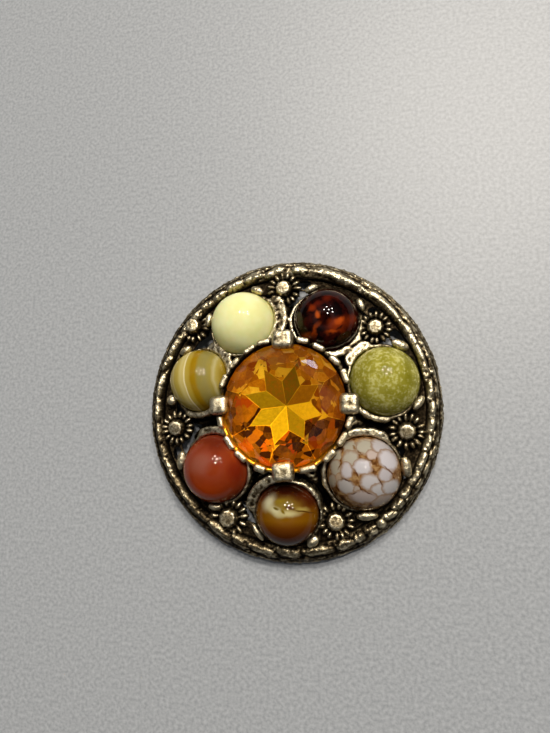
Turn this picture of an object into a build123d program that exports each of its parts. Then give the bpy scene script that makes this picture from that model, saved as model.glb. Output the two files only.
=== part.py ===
from build123d import *
import os
from math import asin, cos, degrees, radians, sin, tan

# A round cast brooch that lies on its back: +Z points out of its face, the rim's back is on z = 0
# and the origin is the centre of the rim. All lengths are in millimetres and angles in degrees,
# counted from +X towards +Y.

# Centre stone: a round faceted glass stone with a flat table and a pointed back
centre_diameter = 17.9
table_diameter = 12.0
crown_height = 2.2
girdle_thickness = 0.4
pavilion_depth = 4.0
star_reach = 12.2
star_notch = 7.2
facet_count = 8
girdle_sides_per_facet = 4
facet_turn = 30.0
star_facet_slope = 24.0
girdle_facet_slope = 44.0

# Ring stones: high round cabochons with a flat back that lean outward
ring_stone_diameter = 9.7
stone_base_depth = 0.5
stone_base_taper = 0.3
stone_lean = 12.0
stone_spacing = 0.8

# Cast metal
back_height = 1.7
cup_wall = 0.5
cup_flare = 0.6
cup_floor = 0.6
collar_height = 0.3
collar_slope = 7.0
bezel_wall = 0.9
bezel_flare = 20.0
seat_width = 0.7
stone_clearance = 0.05
bead_end = 14.0

# Rim with its rope border
rim_width = 3.05
rim_spacing = 0.45
rim_foot_inset = 0.4
rim_bulge_height = 1.5
rim_band_height = 3.0
rim_slope_width = 1.7
rope_length = 3.2
rope_thickness = 1.45
rope_twist = 16.0
rope_count = 38
rib_count = 26
rib_length = 4.2
rib_thickness = 0.8
rib_twist = 7.0
rib_place = 50.0
rib_sink = 0.15

# Scallops and prongs on the centre bezel
scallop_length = 2.1
scallop_thickness = 1.15
scallop_overhang = 0.35
scallop_places = 20
prong_count = 4
prong_width = 2.9
prong_length = 2.6
prong_cover = 0.95
prong_thickness = 0.95
prong_rounding = 0.6
prong_root = 0.9

# Flowers between the ring stones
bead_diameter = 2.4
bead_rise = 0.15
petal_count = 15
petal_length = 1.15
petal_thickness = 0.72
petal_root = 0.18
flower_diameter = 5.0
flower_overlap = 0.35
flower_drop = 0.3
flower_recess = 0.3
flower_base_diameter = 4.6

# Ledge inside the rim that carries the flowers
ledge_width = 1.9
ledge_thickness = 0.5
ledge_root = 0.3
opening_width = 1.3

# Claws on the outer side of each ring stone
claw_length = 1.9
claw_thickness = 1.0
claw_spread = 50.0
claw_gap = 0.12
claw_rise = 0.9
claw_post = 0.85

# Pin on the back: a bar, a hinge block, a stem and a catch in one piece
pin_line = 3.9
pin_bar_length = 28.0
pin_bar_width = 3.0
pin_bar_thickness = 0.5
pin_gap = 0.05
pin_block = 2.4
pin_stem_diameter = 0.9
pin_stem_overhang = 1.6
pin_floor_gap = 0.12
pin_point = 2.0
pin_tip_diameter = 0.2

# Each ring stone: its angle, its place out from the centre as a share of the ring's radius, its
# width as a share of the ring stone's diameter and its dome as a share of its own half width
ring_stones = [
    {"name": "stone_cream", "angle": 118.3, "out": 0.990, "across": 1.025, "dome": 0.95},
    {"name": "stone_tortoise", "angle": 64.6, "out": 0.955, "across": 1.020, "dome": 0.92},
    {"name": "stone_green", "angle": 13.5, "out": 1.000, "across": 1.035, "dome": 0.95},
    {"name": "stone_marbled", "angle": -41.2, "out": 1.000, "across": 1.080, "dome": 0.93},
    {"name": "stone_brown", "angle": -90.0, "out": 1.055, "across": 0.950, "dome": 0.97},
    {"name": "stone_carnelian", "angle": -139.6, "out": 0.965, "across": 1.045, "dome": 0.98},
    {"name": "stone_banded", "angle": 163.1, "out": 0.971, "across": 0.980, "dome": 0.96},
]

# Each flower: its angle and its place out from the centre as a share of the flower ring's radius
flowers = [
    {"angle": 91.9, "out": 1.017},
    {"angle": 41.2, "out": 0.979},
    {"angle": -12.3, "out": 0.987},
    {"angle": -67.3, "out": 1.004},
    {"angle": -118.7, "out": 1.050},
    {"angle": -170.1, "out": 0.998},
    {"angle": 139.6, "out": 1.115},
]

# Each opening through the ledge: its angle and its length
ledge_openings = [
    {"angle": 82.6, "length": 2.2},
    {"angle": 47.0, "length": 2.0},
    {"angle": 31.5, "length": 3.2},
    {"angle": -30.0, "length": 2.4},
    {"angle": -80.5, "length": 2.0},
    {"angle": -158.0, "length": 2.4},
    {"angle": 153.5, "length": 2.0},
]

# Sizes that follow from the ones above
centre_radius = centre_diameter / 2
table_radius = table_diameter / 2
ring_stone_radius = ring_stone_diameter / 2
stone_ring_radius = centre_radius + stone_spacing + ring_stone_radius
rim_inner_radius = stone_ring_radius + ring_stone_radius + rim_spacing
rim_outer_radius = rim_inner_radius + rim_width
lean_drop = ring_stone_radius * sin(radians(stone_lean))
ring_girdle_height = back_height + cup_floor + stone_clearance + stone_base_depth + lean_drop
centre_floor_height = back_height + cup_floor
culet_height = centre_floor_height + stone_clearance
girdle_height = culet_height + pavilion_depth
girdle_top_height = girdle_height + girdle_thickness
table_height = girdle_top_height + crown_height
flower_radius = flower_diameter / 2
flower_ring_radius = rim_inner_radius - flower_radius + flower_overlap
flower_height = rim_band_height + rope_thickness / 2 - flower_drop
rope_radius = rim_inner_radius + rope_thickness / 2 + stone_clearance
facet_step = 360 / facet_count
half_step = facet_step / 2


def oval_bead(length, thickness):
    """An oval bead whose long axis is X, with a small flat at each end."""
    half = EllipticalCenterArc(
        (0, 0),
        length / 2,
        thickness / 2,
        start_angle=bead_end,
        arc_size=180 - 2 * bead_end,
    )
    first = half @ 0
    last = half @ 1
    ends = Polyline(last, (last.X, 0), (first.X, 0), first)
    return revolve(Plane.XZ * make_face([half, ends]), Axis.X)


def around(angle, radius, height):
    """The place at an angle, a radius and a height, turned so that its X points outward."""
    return Rot(Z=angle) * Pos(radius, 0, height)


def facet(angle, radius, height, slope):
    """The plane of a facet that falls outward at a slope through a point of the stone."""
    tilt = radians(slope)
    turn = radians(angle)
    normal = (sin(tilt) * cos(turn), sin(tilt) * sin(turn), cos(tilt))
    return Plane(origin=(radius * cos(turn), radius * sin(turn), height), z_dir=normal)


def make_centre_stone(growth=0.0):
    """The round stone: a many-sided blank from which each facet is cut by one plane. A growth
    moves every facet outward."""
    girdle_sides = girdle_sides_per_facet * facet_count
    blank = extrude(
        Plane.XY.offset(culet_height - growth)
        * RegularPolygon(centre_radius, girdle_sides, rotation=facet_turn),
        table_height - culet_height + 2 * growth,
    )
    notch_radius = star_notch / 2
    reach_radius = star_reach / 2
    narrow = cos(radians(half_step))
    lower_share = (reach_radius - notch_radius * narrow) / (reach_radius * narrow - notch_radius)
    lower_offset = notch_radius * (lower_share - narrow)
    main_rise = pavilion_depth / (lower_share * centre_radius - lower_offset)
    lower_rise = main_rise * lower_share
    crown_rise = crown_height / (centre_radius - table_radius)
    cuts = []
    for number in range(facet_count):
        corner = facet_turn + number * facet_step
        middle = corner + half_step
        cuts.append((slope_plane(corner, 0, culet_height, main_rise), True))
        lower_start = culet_height - main_rise * lower_offset
        cuts.append((slope_plane(middle, 0, lower_start, lower_rise), True))
        crown_start = table_height + crown_rise * table_radius
        cuts.append((slope_plane(corner, 0, crown_start, -crown_rise), False))
        edge_radius = table_radius * narrow
        cuts.append((facet(middle, edge_radius, table_height, star_facet_slope), False))
        for side in (-1, 1):
            quarter = middle + side * half_step / 2
            rim_radius = centre_radius * cos(radians(half_step / 2))
            cuts.append((facet(quarter, rim_radius, girdle_top_height, girdle_facet_slope), False))
    for plane, keep_above in cuts:
        moved = plane.offset(-growth if keep_above else growth)
        blank = split(blank, bisect_by=moved, keep=Keep.TOP if keep_above else Keep.BOTTOM)
    return blank


def slope_plane(angle, radius, height, rise):
    """The plane through a point that rises outward by a given height for each unit of radius."""
    turn = radians(angle)
    normal = (-rise * cos(turn), -rise * sin(turn), 1)
    return Plane(origin=(radius * cos(turn), radius * sin(turn), height), z_dir=normal)


def cabochon(radius, dome, growth=0.0):
    """A round cabochon about its own Z, its girdle on z = 0, made larger all round by a growth."""
    wide = radius + growth
    tall = radius * dome + growth
    base_height = -stone_base_depth - growth
    base_radius = wide - stone_base_taper
    dome_radius = (wide**2 + tall**2) / (2 * tall)
    drop = dome_radius - tall
    start = degrees(asin(drop / dome_radius))
    arc = CenterArc((0, -drop), dome_radius, start, 90 - start)
    sides = Polyline(arc @ 1, (0, base_height), (base_radius, base_height), arc @ 0)
    return revolve(Plane.XZ * make_face([arc, sides]), Axis.Z)


def stone_place(stone):
    """Where a ring stone's girdle lies: out on the ring, leaning outward."""
    out = stone["out"] * stone_ring_radius
    return around(stone["angle"], out, ring_girdle_height) * Rot(Y=stone_lean)


def stone_radius(stone):
    return stone["across"] * ring_stone_radius


def make_ring_stone(stone):
    return stone_place(stone) * cabochon(stone_radius(stone), stone["dome"])


def make_cup(stone):
    """A leaning cup, still solid: its stone's pocket is cut once all the metal is one."""
    radius = stone_radius(stone)
    top = collar_height + (radius + cup_wall) * tan(radians(collar_slope))
    depth = ring_girdle_height
    foot_radius = radius + cup_wall + cup_flare
    cone = Pos(Z=-depth) * Cone(
        foot_radius,
        radius + cup_wall,
        depth + top,
        align=(Align.CENTER, Align.CENTER, Align.MIN),
    )
    collar = Plane(origin=(0, 0, collar_height)).rotated((0, collar_slope, 0))
    cup = stone_place(stone) * split(cone, bisect_by=collar, keep=Keep.BOTTOM)
    return split(cup, bisect_by=Plane.XY.offset(back_height), keep=Keep.TOP)


def make_claws(stone):
    """The two claws of a ring stone: an oval tip against the dome, on a short post."""
    radius = stone_radius(stone)
    claws = []
    for side in (-1, 1):
        reach = radius + claw_gap + claw_thickness / 2
        place = stone_place(stone) * Rot(Z=side * claw_spread) * Pos(reach, 0, claw_rise)
        tip = place * Rot(Z=90) * oval_bead(claw_length, claw_thickness)
        post = place * Cylinder(
            claw_post / 2,
            claw_rise + stone_base_depth,
            align=(Align.CENTER, Align.CENTER, Align.MAX),
        )
        claws += [tip, post]
    return claws


def make_bezel():
    """The centre cup, still solid: it widens upward to the collar around the big stone."""
    top_radius = centre_radius + bezel_wall
    foot_radius = top_radius - (girdle_top_height - back_height) * tan(radians(bezel_flare))
    return Pos(Z=back_height) * Cone(
        foot_radius,
        top_radius,
        girdle_top_height - back_height,
        align=(Align.CENTER, Align.CENTER, Align.MIN),
    )


def make_bezel_pocket():
    """The hollow of the centre cup: an open cup, a sloping seat and the wall around the girdle."""
    wide = centre_radius + stone_clearance
    slope = tan(radians(bezel_flare))
    floor_radius = centre_radius - (girdle_top_height - centre_floor_height) * slope
    seat_top = girdle_height - stone_clearance
    outline = [
        (0, centre_floor_height),
        (floor_radius, centre_floor_height),
        (centre_radius - seat_width, seat_top - seat_width),
        (wide, seat_top),
        (wide, girdle_top_height + stone_clearance),
        (0, table_height),
    ]
    return revolve(Plane.XZ * make_face(Polyline(outline, close=True)), Axis.Z)


def make_scallops():
    """The scallops of the centre bezel, with a rounded prong at each quarter."""
    every = scallop_places // prong_count
    radius = centre_radius + bezel_wall - scallop_thickness / 2 + scallop_overhang
    pieces = []
    for number in range(scallop_places):
        angle = 360 * number / scallop_places
        if number % every:
            place = around(angle, radius, girdle_top_height)
            pieces.append(place * Rot(Z=90) * oval_bead(scallop_length, scallop_thickness))
        else:
            pieces.append(Rot(Z=angle) * make_prong())
    return pieces


def make_prong():
    """A rounded prong on +X, bent over the edge of the centre stone."""
    inner = centre_radius - prong_cover
    crown_rise = crown_height / (centre_radius - table_radius)
    top = girdle_top_height + prong_cover * crown_rise + prong_thickness
    height = top - girdle_height + prong_root
    block = Box(
        prong_length,
        prong_width,
        height,
        align=(Align.MIN, Align.CENTER, Align.MAX),
    )
    upper = block.edges().group_by(Axis.Z)[-1] + block.edges().filter_by(Axis.Z)
    return Pos(inner, 0, top) * fillet(upper, prong_rounding)


def make_rim():
    """The rim without its rope: a ring with a bulging outer side that slopes up to the border."""
    foot = (rim_outer_radius - rim_foot_inset, 0)
    bulge = (rim_outer_radius, rim_bulge_height)
    shoulder = (rim_outer_radius - rim_slope_width, rim_band_height)
    edges = [
        Polyline(shoulder, (rim_inner_radius, rim_band_height), (rim_inner_radius, 0), foot),
        TangentArc(bulge, foot, tangent=(0, -1)),
        TangentArc(bulge, shoulder, tangent=(0, 1)),
    ]
    return revolve(Plane.XZ * make_face(edges), Axis.Z)


def make_rope():
    """The oval links of the border on top of the rim, and the long ribs on its outer slope."""
    slope_height = rim_band_height - rim_bulge_height
    slope_radius = (rim_slope_width**2 + slope_height**2) / (2 * rim_slope_width)
    reach = (slope_radius - rib_sink) * cos(radians(rib_place))
    rib_radius = rim_outer_radius - slope_radius + reach
    rib_height = rim_bulge_height + (slope_radius - rib_sink) * sin(radians(rib_place))
    pieces = []
    for number in range(rope_count):
        place = around(360 * number / rope_count, rope_radius, rim_band_height)
        pieces.append(place * Rot(Z=90 + rope_twist) * oval_bead(rope_length, rope_thickness))
    for number in range(rib_count):
        place = around(360 * number / rib_count, rib_radius, rib_height)
        pieces.append(place * Rot(Z=90 - rib_twist) * oval_bead(rib_length, rib_thickness))
    return pieces


def make_flower():
    """A flower about the origin: a round stub with a ring of petals and a bead on top."""
    petal_ring = flower_radius - petal_length / 2
    stub_height = flower_height - back_height - flower_recess
    stub = Cylinder(
        petal_ring - petal_root,
        stub_height,
        align=(Align.CENTER, Align.CENTER, Align.MAX),
    )
    petals = [
        around(360 * number / petal_count, petal_ring, 0) * oval_bead(petal_length, petal_thickness)
        for number in range(petal_count)
    ]
    bead = Pos(Z=bead_rise) * Sphere(bead_diameter / 2)
    return stub + petals + bead


def make_ledge():
    """The thin ledge inside the rim, with a round base for each flower and its openings cut."""
    low = (Align.CENTER, Align.CENTER, Align.MIN)
    inner_radius = rim_inner_radius - ledge_width
    ledge = Cylinder(rim_inner_radius + ledge_root, ledge_thickness, align=low)
    ledge -= Cylinder(inner_radius, ledge_thickness, align=low)
    base = Cylinder(flower_base_diameter / 2, ledge_thickness, align=low)
    ledge += [around(row["angle"], row["out"] * flower_ring_radius, 0) * base for row in flowers]
    for row in ledge_openings:
        slot = SlotOverall(row["length"], opening_width)
        place = around(row["angle"], rim_inner_radius - ledge_width / 2, 0) * Rot(Z=90)
        ledge -= extrude(place * slot, ledge_thickness)
    return Pos(Z=back_height) * ledge


def make_setting():
    """The whole casting: every part of the metal as one solid, then the stones' pockets."""
    metal = make_rim() + make_rope()
    inside = [make_bezel(), make_ledge()] + make_scallops()
    for stone in ring_stones:
        inside.append(make_cup(stone))
        inside += make_claws(stone)
    flower = make_flower()
    for row in flowers:
        inside.append(around(row["angle"], row["out"] * flower_ring_radius, flower_height) * flower)
    metal = metal + inside
    pockets = [make_bezel_pocket(), make_centre_stone(growth=stone_clearance)]
    for stone in ring_stones:
        pocket = cabochon(stone_radius(stone), stone["dome"], growth=stone_clearance)
        pockets.append(stone_place(stone) * pocket)
    return metal - pockets


def make_pin():
    """The pin on the back, one plain piece: bar, hinge block, stem with a point, and catch."""
    bar_top = back_height - pin_gap
    bar_bottom = bar_top - pin_bar_thickness
    stem_radius = pin_stem_diameter / 2
    stem_height = pin_floor_gap + stem_radius
    low = (Align.CENTER, Align.CENTER, Align.MIN)
    bar = Pos(0, pin_line, bar_bottom) * Box(
        pin_bar_length, pin_bar_width, pin_bar_thickness, align=low
    )
    block_place = (pin_bar_length - pin_block) / 2
    blocks = [
        Pos(side * block_place, pin_line, pin_floor_gap)
        * Box(pin_block, pin_bar_width, bar_bottom - pin_floor_gap, align=low)
        for side in (-1, 1)
    ]
    stem_length = pin_bar_length - pin_block + pin_stem_overhang
    start = Pos(-block_place, pin_line, stem_height) * Rot(Y=90)
    stem = start * Cylinder(stem_radius, stem_length, align=low)
    tip_radius = pin_tip_diameter / 2
    point = start * Pos(Z=stem_length) * Cone(stem_radius, tip_radius, pin_point, align=low)
    return bar + blocks + [stem, point]


def write(name, solid):
    solid.label = name
    export_step(solid, os.path.join("parts", name + ".step"))


os.makedirs("parts", exist_ok=True)
write("setting", make_setting())
write("center_stone", make_centre_stone())
for row in ring_stones:
    write(row["name"], make_ring_stone(row))
write("brooch_pin", make_pin())
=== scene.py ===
import math

import bmesh
import bpy
import numpy as np
from mathutils import Matrix, Vector, noise


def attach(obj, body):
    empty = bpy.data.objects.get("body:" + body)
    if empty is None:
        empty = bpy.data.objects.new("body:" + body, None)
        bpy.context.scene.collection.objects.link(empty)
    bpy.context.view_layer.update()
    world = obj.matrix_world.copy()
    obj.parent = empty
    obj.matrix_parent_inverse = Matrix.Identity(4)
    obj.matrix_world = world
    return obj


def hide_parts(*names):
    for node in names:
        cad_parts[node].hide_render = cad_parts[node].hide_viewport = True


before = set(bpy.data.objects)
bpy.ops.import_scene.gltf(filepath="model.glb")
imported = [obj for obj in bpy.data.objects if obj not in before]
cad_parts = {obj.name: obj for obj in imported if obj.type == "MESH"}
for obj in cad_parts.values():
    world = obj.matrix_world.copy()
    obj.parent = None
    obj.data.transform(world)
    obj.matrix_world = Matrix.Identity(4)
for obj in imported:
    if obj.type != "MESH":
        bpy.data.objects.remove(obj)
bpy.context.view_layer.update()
scene = bpy.context.scene

# Camera
# A phone held over the brooch, a little to its right and tipped. Its lens is wide, so the rim's
# right side shows and its left side is hidden.
mm = 0.001
phone_lens = 27.0
phone_sensor = 36.0
phone_place = (15.0, -5.5, 83.9)
phone_tip = (8.0, 11.9, 0.0)


def add_to_scene(name, data):
    """Puts a camera, a lamp or a mesh into the scene."""
    thing = bpy.data.objects.new(name, data)
    scene.collection.objects.link(thing)
    return thing


phone = bpy.data.cameras.new("phone")
phone.lens = phone_lens
phone.sensor_width = phone_sensor
phone.clip_start = mm
camera = add_to_scene("phone", phone)
camera.location = Vector(phone_place) * mm
camera.rotation_euler = [math.radians(turn) for turn in phone_tip]
scene.camera = camera
scene.view_settings.view_transform = "Standard"


# Floor
# A plain pale table top that the brooch lies on, of laminate. It was moulded with a fine even grain,
# which takes the shine off it.
def linear(code):
    """The linear colour of an sRGB hex code, with an alpha of one."""
    parts = [int(code[start : start + 2], 16) / 255 for start in (1, 3, 5)]
    curved = [part / 12.92 if part <= 0.04045 else ((part + 0.055) / 1.055) ** 2.4 for part in parts]
    return (*curved, 1.0)


def feed(node, inputs):
    """Fills a node's inputs, each with a value, a hex code or another node's output."""
    for name, value in inputs.items():
        if isinstance(value, bpy.types.NodeSocket):
            node.id_data.links.new(value, node.inputs[name])
        elif isinstance(value, str):
            node.inputs[name].default_value = linear(value)
        else:
            node.inputs[name].default_value = value


def add_node(tree, kind, settings=None, inputs=None, stops=None):
    """Adds a node with its settings and inputs. Stops fill a colour ramp."""
    node = tree.nodes.new(kind)
    for name, value in (settings or {}).items():
        setattr(node, name, value)
    feed(node, inputs or {})
    if stops:
        ramp = node.color_ramp.elements
        while len(ramp) < len(stops):
            ramp.new(0.5)
        for element, (place, code) in zip(ramp, stops):
            element.position = place
            element.color = linear(code)
    return node


def new_material(name):
    """A plain material, its node tree, its shader and the place on the piece that it colours."""
    material = bpy.data.materials.new(name)
    material.use_nodes = True
    tree = material.node_tree
    place = add_node(tree, "ShaderNodeTexCoord").outputs["Object"]
    return material, tree, tree.nodes["Principled BSDF"], place


def clouded(tree, place, size, stops, detail=2.0):
    """Clouds of about the given size: their colour, from thin to thick, and how thick they are."""
    cloud = add_node(
        tree, "ShaderNodeTexNoise", inputs={"Vector": place, "Scale": 1 / size, "Detail": detail}
    ).outputs["Fac"]
    colour = add_node(tree, "ShaderNodeValToRGB", inputs={"Fac": cloud}, stops=stops)
    return colour.outputs["Color"], cloud


floor_side = 1200.0
grain_size = 0.5
grain_depth = 0.05
laminate, tree, shader, place = new_material("grained_laminate")
tone, grain = clouded(tree, place, grain_size * mm, [(0.3, "#878B8F"), (0.7, "#9FA3A7")])
bump = add_node(
    tree, "ShaderNodeBump", inputs={"Height": grain, "Strength": 0.3, "Distance": grain_depth * mm}
)
feed(shader, {"Base Color": tone, "Normal": bump.outputs["Normal"], "Roughness": 0.45})
form = bmesh.new()
bmesh.ops.create_grid(form, x_segments=1, y_segments=1, size=floor_side / 2 * mm)
floor_mesh = bpy.data.meshes.new("floor")
form.to_mesh(floor_mesh)
form.free()
floor_mesh.materials.append(laminate)
floor = add_to_scene("floor", floor_mesh)

# Lights
# A ceiling lamp of six bulbs above and behind the brooch, which every stone mirrors as a small
# flower of dots, in a room whose pale ceiling gives most of the soft light. Its walls are dim, and
# the far one, which has a small window, is lighter than the near one.
lamp_place = (270.0, 630.0, 1000.0)
bulb_spread = 300.0
bulb_radius = 36.0
bulb_power = 14.0
bulb_angles = (115, 32, -28, -107, 180)
bulb_places = [(0.0, 0.0)]
for angle in bulb_angles:
    turn = math.radians(angle)
    bulb_places.append((bulb_spread * math.cos(turn), bulb_spread * math.sin(turn)))
for number, (across, along) in enumerate(bulb_places):
    bulb = bpy.data.lights.new(f"bulb_{number}", "POINT")
    bulb.energy = bulb_power
    bulb.shadow_soft_size = bulb_radius * mm
    bulb.color = linear("#FFF6EA")[:3]
    lamp = add_to_scene(f"bulb_{number}", bulb)
    lamp.location = Vector((lamp_place[0] + across, lamp_place[1] + along, lamp_place[2])) * mm
# The window is placed where one facet of the centre stone's front mirrors it
window_place = (350.0, 867.0, 762.0)
window_width = 80.0
window_height = 22.0
window_power = 0.05
daylight = bpy.data.lights.new("window", "AREA")
daylight.energy = window_power
daylight.shape = "RECTANGLE"
daylight.size = window_width * mm
daylight.size_y = window_height * mm
daylight.color = linear("#E8ECFF")[:3]
window = add_to_scene("window", daylight)
window.location = Vector(window_place) * mm
window.rotation_euler = window.location.to_track_quat("Z", "Y").to_euler()
near_wall_light = 0.35
far_wall_light = 1.65
room = bpy.data.worlds.new("room")
room.use_nodes = True
tree = room.node_tree
direction = add_node(tree, "ShaderNodeTexCoord").outputs["Generated"]
way = add_node(tree, "ShaderNodeSeparateXYZ", inputs={"Vector": direction})
strength = add_node(
    tree,
    "ShaderNodeMapRange",
    inputs={
        "Value": way.outputs["Y"],
        "From Min": -1.0,
        "To Min": near_wall_light,
        "To Max": far_wall_light,
    },
).outputs["Result"]
tone = add_node(
    tree,
    "ShaderNodeValToRGB",
    inputs={"Fac": way.outputs["Z"]},
    stops=[
        (0.0, "#1C1C1E"),
        (0.35, "#303032"),
        (0.7, "#6A6B6E"),
        (0.88, "#C0C2C6"),
        (0.95, "#242426"),
    ],
).outputs["Color"]
feed(tree.nodes["Background"], {"Color": tone, "Strength": strength})
scene.world = room


# Rim
# The outer ring of the casting: a band with a rounded outer side, and on top of it the links of a
# rope that was carved by hand in the model, so no two are alike. White metal plated in antique
# gold, with black left in every hollow and the high places rubbed bright.
def to_points(mesh):
    points = np.empty(3 * len(mesh.vertices))
    mesh.vertices.foreach_get("co", points)
    return points.reshape(-1, 3)


def to_normals(mesh):
    normals = np.empty(3 * len(mesh.vertices))
    mesh.vertices.foreach_get("normal", normals)
    return normals.reshape(-1, 3)


def move_points(mesh, points):
    mesh.vertices.foreach_set("co", points.ravel())
    mesh.update()


def settled(mesh, values, rounds):
    """The values after each has become the mean of its neighbours', so many times over."""
    ends = np.empty(2 * len(mesh.edges), dtype=np.int32)
    mesh.edges.foreach_get("vertices", ends)
    first, second = ends.reshape(-1, 2).T
    count = len(values)
    near = np.maximum(np.bincount(np.r_[first, second], minlength=count), 1)
    for _ in range(rounds):
        sums = [
            np.bincount(first, column[second], count) + np.bincount(second, column[first], count)
            for column in values.T
        ]
        values = np.stack(sums, axis=1) / near[:, None]
    return values


def share_between(values, start, end):
    """How far each value has come from start to end, between nought and one."""
    return np.clip((values - start) / (end - start), 0, 1)


def lumps(points, size, seed):
    """Smooth noise between -1 and 1 at each point, whose lumps have about the given size."""
    return np.array([noise.noise(Vector(point)) for point in points / size + seed])


def arc_share(angle, start, end, fade=12.0):
    """One between two angles, falling off smoothly outside them."""
    middle = (start + end) / 2
    away = np.abs((angle - middle + 180) % 360 - 180) - (end - start) / 2
    share = share_between(away, fade, 0)
    return share**2 * (3 - 2 * share)


def make_mesh(name, form):
    """A finished form as a mesh whose faces point outwards."""
    bmesh.ops.recalc_face_normals(form, faces=form.faces)
    mesh = bpy.data.meshes.new(name)
    form.to_mesh(mesh)
    form.free()
    return mesh


def rub(mesh, points, rounds, reach):
    """Stores how far each place stands out of its surroundings, which is what wear rubs bright."""
    rise = ((points - settled(mesh, points, rounds)) * to_normals(mesh)).sum(axis=1)
    return np.clip(0.5 + rise / reach, 0, 1)


def put_on_brooch(name, mesh, material, node):
    """Turns a finished mesh to metres and makes it a smooth piece that replaces a node."""
    mesh.transform(Matrix.Scale(mm, 4))
    mesh.polygons.foreach_set("use_smooth", np.ones(len(mesh.polygons), dtype=bool))
    mesh.materials.append(material)
    piece = add_to_scene(name, mesh)
    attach(piece, "root")
    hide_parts(node)
    return piece


back_wear = 0.6


def finish_casting(name, mesh, wear_and_painted_light):
    """Puts a part of the casting on the brooch with its wear and painted light. Its plain back is worn
    evenly.
    """
    back = share_between(to_normals(mesh)[:, 2], -0.5, -0.9)
    wear_and_painted_light = wear_and_painted_light + (back_wear - wear_and_painted_light) * back
    mesh.attributes.new("wear_and_painted_light", "FLOAT", "POINT").data.foreach_set("value", wear_and_painted_light)
    return put_on_brooch(name, mesh, antique_gold, "setting")


# Antique gold plate on a sand casting: near white where rubbed, olive gold beside it, and a black
# tarnish that was painted on and wiped off, which leaves the hollows dull.
tarnish_break = 0.55
sand_grain = 0.14
sand_depth = 0.07
antique_gold, tree, shader, place = new_material("antique_gold_casting")
# The wear attribute holds real wear and tarnish, and also the painted light and painted shade that each
# part adds to it
wear_and_painted_light = add_node(tree, "ShaderNodeAttribute", {"attribute_name": "wear_and_painted_light"}).outputs["Fac"]
painted_amber_reflection = add_node(tree, "ShaderNodeAttribute", {"attribute_name": "amber"}).outputs["Fac"]
blotches = add_node(
    tree,
    "ShaderNodeTexNoise",
    inputs={"Vector": place, "Scale": 1 / (tarnish_break * mm), "Detail": 4.0, "Roughness": 0.7},
).outputs["Fac"]
grains = add_node(
    tree,
    "ShaderNodeTexNoise",
    inputs={"Vector": place, "Scale": 1 / (sand_grain * mm), "Detail": 3.0, "Roughness": 0.6},
).outputs["Fac"]
patches = add_node(
    tree,
    "ShaderNodeMapRange",
    inputs={"Value": blotches, "From Min": 0.3, "From Max": 0.7, "To Min": -0.24, "To Max": 0.2},
).outputs["Result"]
pits = add_node(
    tree,
    "ShaderNodeMapRange",
    inputs={"Value": grains, "From Min": 0.3, "From Max": 0.6, "To Min": -0.24, "To Max": 0.08},
).outputs["Result"]
spots = add_node(tree, "ShaderNodeMath", {"operation": "ADD"}, {0: patches, 1: pits}).outputs["Value"]
bright = add_node(
    tree, "ShaderNodeMath", {"operation": "ADD", "use_clamp": True}, {0: wear_and_painted_light, 1: spots}
).outputs["Value"]
tarnish = add_node(
    tree,
    "ShaderNodeValToRGB",
    inputs={"Fac": bright},
    stops=[
        (0.05, "#080604"),
        (0.2, "#1C160E"),
        (0.38, "#3C3224"),
        (0.57, "#625640"),
        (0.77, "#918467"),
        (0.97, "#E0D4B4"),
    ],
)
# Painted reflection: where the amber attribute is set, the stone's amber light is painted over the
# metal
colour = add_node(
    tree,
    "ShaderNodeMix",
    {"data_type": "RGBA"},
    {"Factor": painted_amber_reflection, "A": tarnish.outputs["Color"], "B": "#FFC030"},
).outputs["Result"]
gloss = add_node(
    tree,
    "ShaderNodeMapRange",
    inputs={"Value": bright, "From Min": 0.3, "From Max": 0.8, "To Min": 0.6, "To Max": 0.37},
).outputs["Result"]
bump = add_node(
    tree, "ShaderNodeBump", inputs={"Height": grains, "Strength": 0.7, "Distance": sand_depth * mm}
).outputs["Normal"]
feed(shader, {"Base Color": colour, "Roughness": gloss, "Normal": bump, "Metallic": 1.0})

rim_section = [
    (22.55, 0.00),
    (22.80, 0.40),
    (22.90, 1.50),
    (22.55, 2.25),
    (22.00, 2.75),
    (21.30, 3.00),
    (20.15, 3.00),
    (19.98, 2.75),
    (19.94, 1.70),
    (19.94, 0.00),
    (22.55, 0.00),
]
rim_steps = 1080
rim_strips = 62
rim_top = 3.0
rim_inner = 19.9
rim_reach = 22.93
rim_reach_across = 22.60
slope_start = 21.1
slope_inset = 0.16
# The rope: a low ridge, and the links that were carved on it
rope_foot = 2.6
ridge_line = 20.75
ridge_spread = 0.5
ridge_rise = 0.26
link_rise = 0.46
link_width = 1.5
link_overlap = 1.1
link_slant = 1.5
# A second row of knobs outside the rope, and where it runs, from one angle to another
knob_line = 21.75
knob_spread = 0.42
knob_rise = 0.22
knobs_in_full_ring = 58
knobbly_stretch = (-58, 30)
# The streaks that the modelling tool left along the slope outside the rope
streak_line = 21.0
streak_length = 3.6
streak_width = 0.6
streak_slant = 3.0
groove_depth = 0.16
grit_rise = 0.14
# Between which heights the side's relief grows to full, and turns from outward to upward
foot_fade = (0.5, 1.4)
upward_fade = (1.6, 2.8)
# Links, streaks and some patches are rubbed more, and the inner edge is darker
link_wear = 0.22
patch_wear = 0.24
slope_wear = 0.12
streak_wear = 0.12
rim_tarnish = 0.14
inner_darkening = 0.3
# How much lighter the rim is on its upper right side, toward the lamp, than on the other: painted
# light, along with some wear
side_light_and_wear = 0.16
lit_side = 65
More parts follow.
